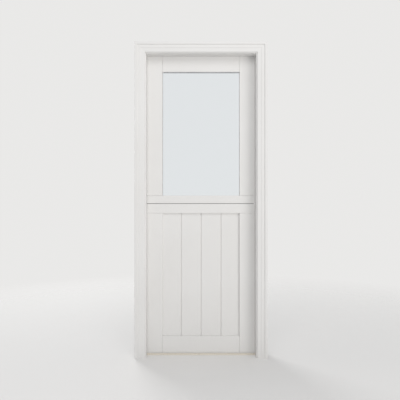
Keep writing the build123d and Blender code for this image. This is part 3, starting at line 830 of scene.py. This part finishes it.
@dataclass
class Studio:
    """The pale floor, the soft lights and the camera."""

    lens: float = 43.65
    eye: Point = (-0.0072, -3.333, 1.0556)
    floor_radius: float = 9.0
    floor_segments: int = 96
    floor_colour: Colour = (0.87, 0.86, 0.845)
    floor_roughness: float = 0.85
    mottle_scale: float = 1.5
    mottle_shade: float = 0.985
    fade_start: float = 0.4
    fade_share: float = 0.4
    backdrop: Colour = (0.82, 0.815, 0.805)
    ambient: Colour = (0.97, 0.98, 1.0)
    ambient_strength: float = 0.50
    lamps: tuple[Lamp, ...] = (
        Lamp("key_light", (5.7, -6.8, -0.2), (0.0, 0.0, 1.45), 4.4, 295.0, (1.0, 0.985, 0.96), False),
        Lamp("front_light", (0.5, -5.6, 1.5), (0.0, 0.0, 1.5), 2.6, 12.0, (0.98, 0.99, 1.0), False),
        Lamp("top_light", (0.0, -2.6, 3.4), (0.0, -1.2, 0.0), 2.0, 32.0, (1.0, 1.0, 1.0), False),
        Lamp("outside_light", (-3.0, 6.0, 3.0), (0.0, 0.0, 1.1), 3.4, 240.0, (1.0, 1.0, 1.0), True),
    )

    def build(self) -> None:
        """Set up the whole studio."""
        self.floor()
        self.world()
        for lamp in self.lamps:
            self.hang(lamp)
        self.camera()
        bpy.context.scene.view_settings.view_transform = "Standard"

    def floor(self) -> None:
        """Lay a round floor whose rim fades into the backdrop."""
        mesh = bmesh.new()
        bmesh.ops.create_circle(mesh, cap_ends=True, radius=self.floor_radius,
                                segments=self.floor_segments)
        data = bpy.data.meshes.new("floor")
        mesh.to_mesh(data)
        mesh.free()
        floor = bpy.data.objects.new("floor", data)
        bpy.context.scene.collection.objects.link(floor)
        graph = Graph("floor")
        mottle = graph.noise(self.mottle_scale, detail=2.0)
        red, green, blue = (self.mottle_shade * part for part in self.floor_colour)
        graph.colour(graph.mix(mottle, self.floor_colour, (red, green, blue)))
        graph.fix(Roughness=self.floor_roughness)
        distance = graph.nodes.new("ShaderNodeVectorMath")
        distance.operation = "LENGTH"
        graph.links.new(graph.place, distance.inputs[0])
        fade_end = self.floor_radius * self.fade_share
        fade = graph.spread(distance.outputs["Value"], (self.fade_start, fade_end), FULL)
        clear = graph.nodes.new("ShaderNodeBsdfTransparent")
        blend = graph.nodes.new("ShaderNodeMixShader")
        graph.links.new(fade, blend.inputs[0])
        graph.links.new(graph.shader.outputs["BSDF"], blend.inputs[1])
        graph.links.new(clear.outputs[0], blend.inputs[2])
        graph.links.new(blend.outputs[0], graph.output.inputs["Surface"])
        data.materials.append(graph.material)

    def world(self) -> None:
        """Light the studio evenly, and show the backdrop to the camera, gloss and glass."""
        world = bpy.data.worlds.new("studio")
        bpy.context.scene.world = world
        world.use_nodes = True
        nodes, links = world.node_tree.nodes, world.node_tree.links
        nodes.clear()
        path = nodes.new("ShaderNodeLightPath")
        seen = nodes.new("ShaderNodeMath")
        seen.operation = "MAXIMUM"
        either = nodes.new("ShaderNodeMath")
        either.operation = "MAXIMUM"
        links.new(path.outputs["Is Glossy Ray"], either.inputs[0])
        links.new(path.outputs["Is Transmission Ray"], either.inputs[1])
        links.new(path.outputs["Is Camera Ray"], seen.inputs[0])
        links.new(either.outputs[0], seen.inputs[1])
        light = nodes.new("ShaderNodeBackground")
        light.inputs["Color"].default_value = (*self.ambient, 1.0)
        light.inputs["Strength"].default_value = self.ambient_strength
        backdrop = nodes.new("ShaderNodeBackground")
        backdrop.inputs["Color"].default_value = (*self.backdrop, 1.0)
        blend = nodes.new("ShaderNodeMixShader")
        output = nodes.new("ShaderNodeOutputWorld")
        links.new(seen.outputs[0], blend.inputs[0])
        links.new(light.outputs[0], blend.inputs[1])
        links.new(backdrop.outputs[0], blend.inputs[2])
        links.new(blend.outputs[0], output.inputs["Surface"])

    @staticmethod
    def hang(lamp: Lamp) -> None:
        """Hang a lamp, hidden from the camera and from sight through the glass.

        Args:
            lamp: The lamp to hang.
        """
        data = bpy.data.lights.new(lamp.name, "AREA")
        data.size = lamp.size
        data.energy = lamp.energy
        data.color = lamp.colour
        light = bpy.data.objects.new(lamp.name, data)
        light.location = lamp.place
        aim = Vector(lamp.target) - Vector(lamp.place)
        light.rotation_euler = aim.to_track_quat("-Z", "Y").to_euler()
        light.visible_camera = False
        light.visible_transmission = False
        light.visible_glossy = lamp.in_gloss
        bpy.context.scene.collection.objects.link(light)

    def camera(self) -> None:
        """Stand the camera level and square to the door."""
        data = bpy.data.cameras.new("camera")
        data.lens = self.lens
        camera = bpy.data.objects.new("camera", data)
        camera.location = self.eye
        camera.rotation_euler = (math.radians(90.0), 0.0, 0.0)
        bpy.context.scene.collection.objects.link(camera)
        bpy.context.scene.camera = camera


def main() -> None:
    """Build the studio and dress the door."""
    logging.basicConfig(level=logging.INFO, format="%(name)s: %(message)s")
    Studio().build()
    finishes = Finishes()
    DoorFrame(finishes).build()
    UpperLeaf(finishes).build()
    LowerLeaf(finishes).build()
    Hinges(finishes).build()


if __name__ == "__main__":
    main()
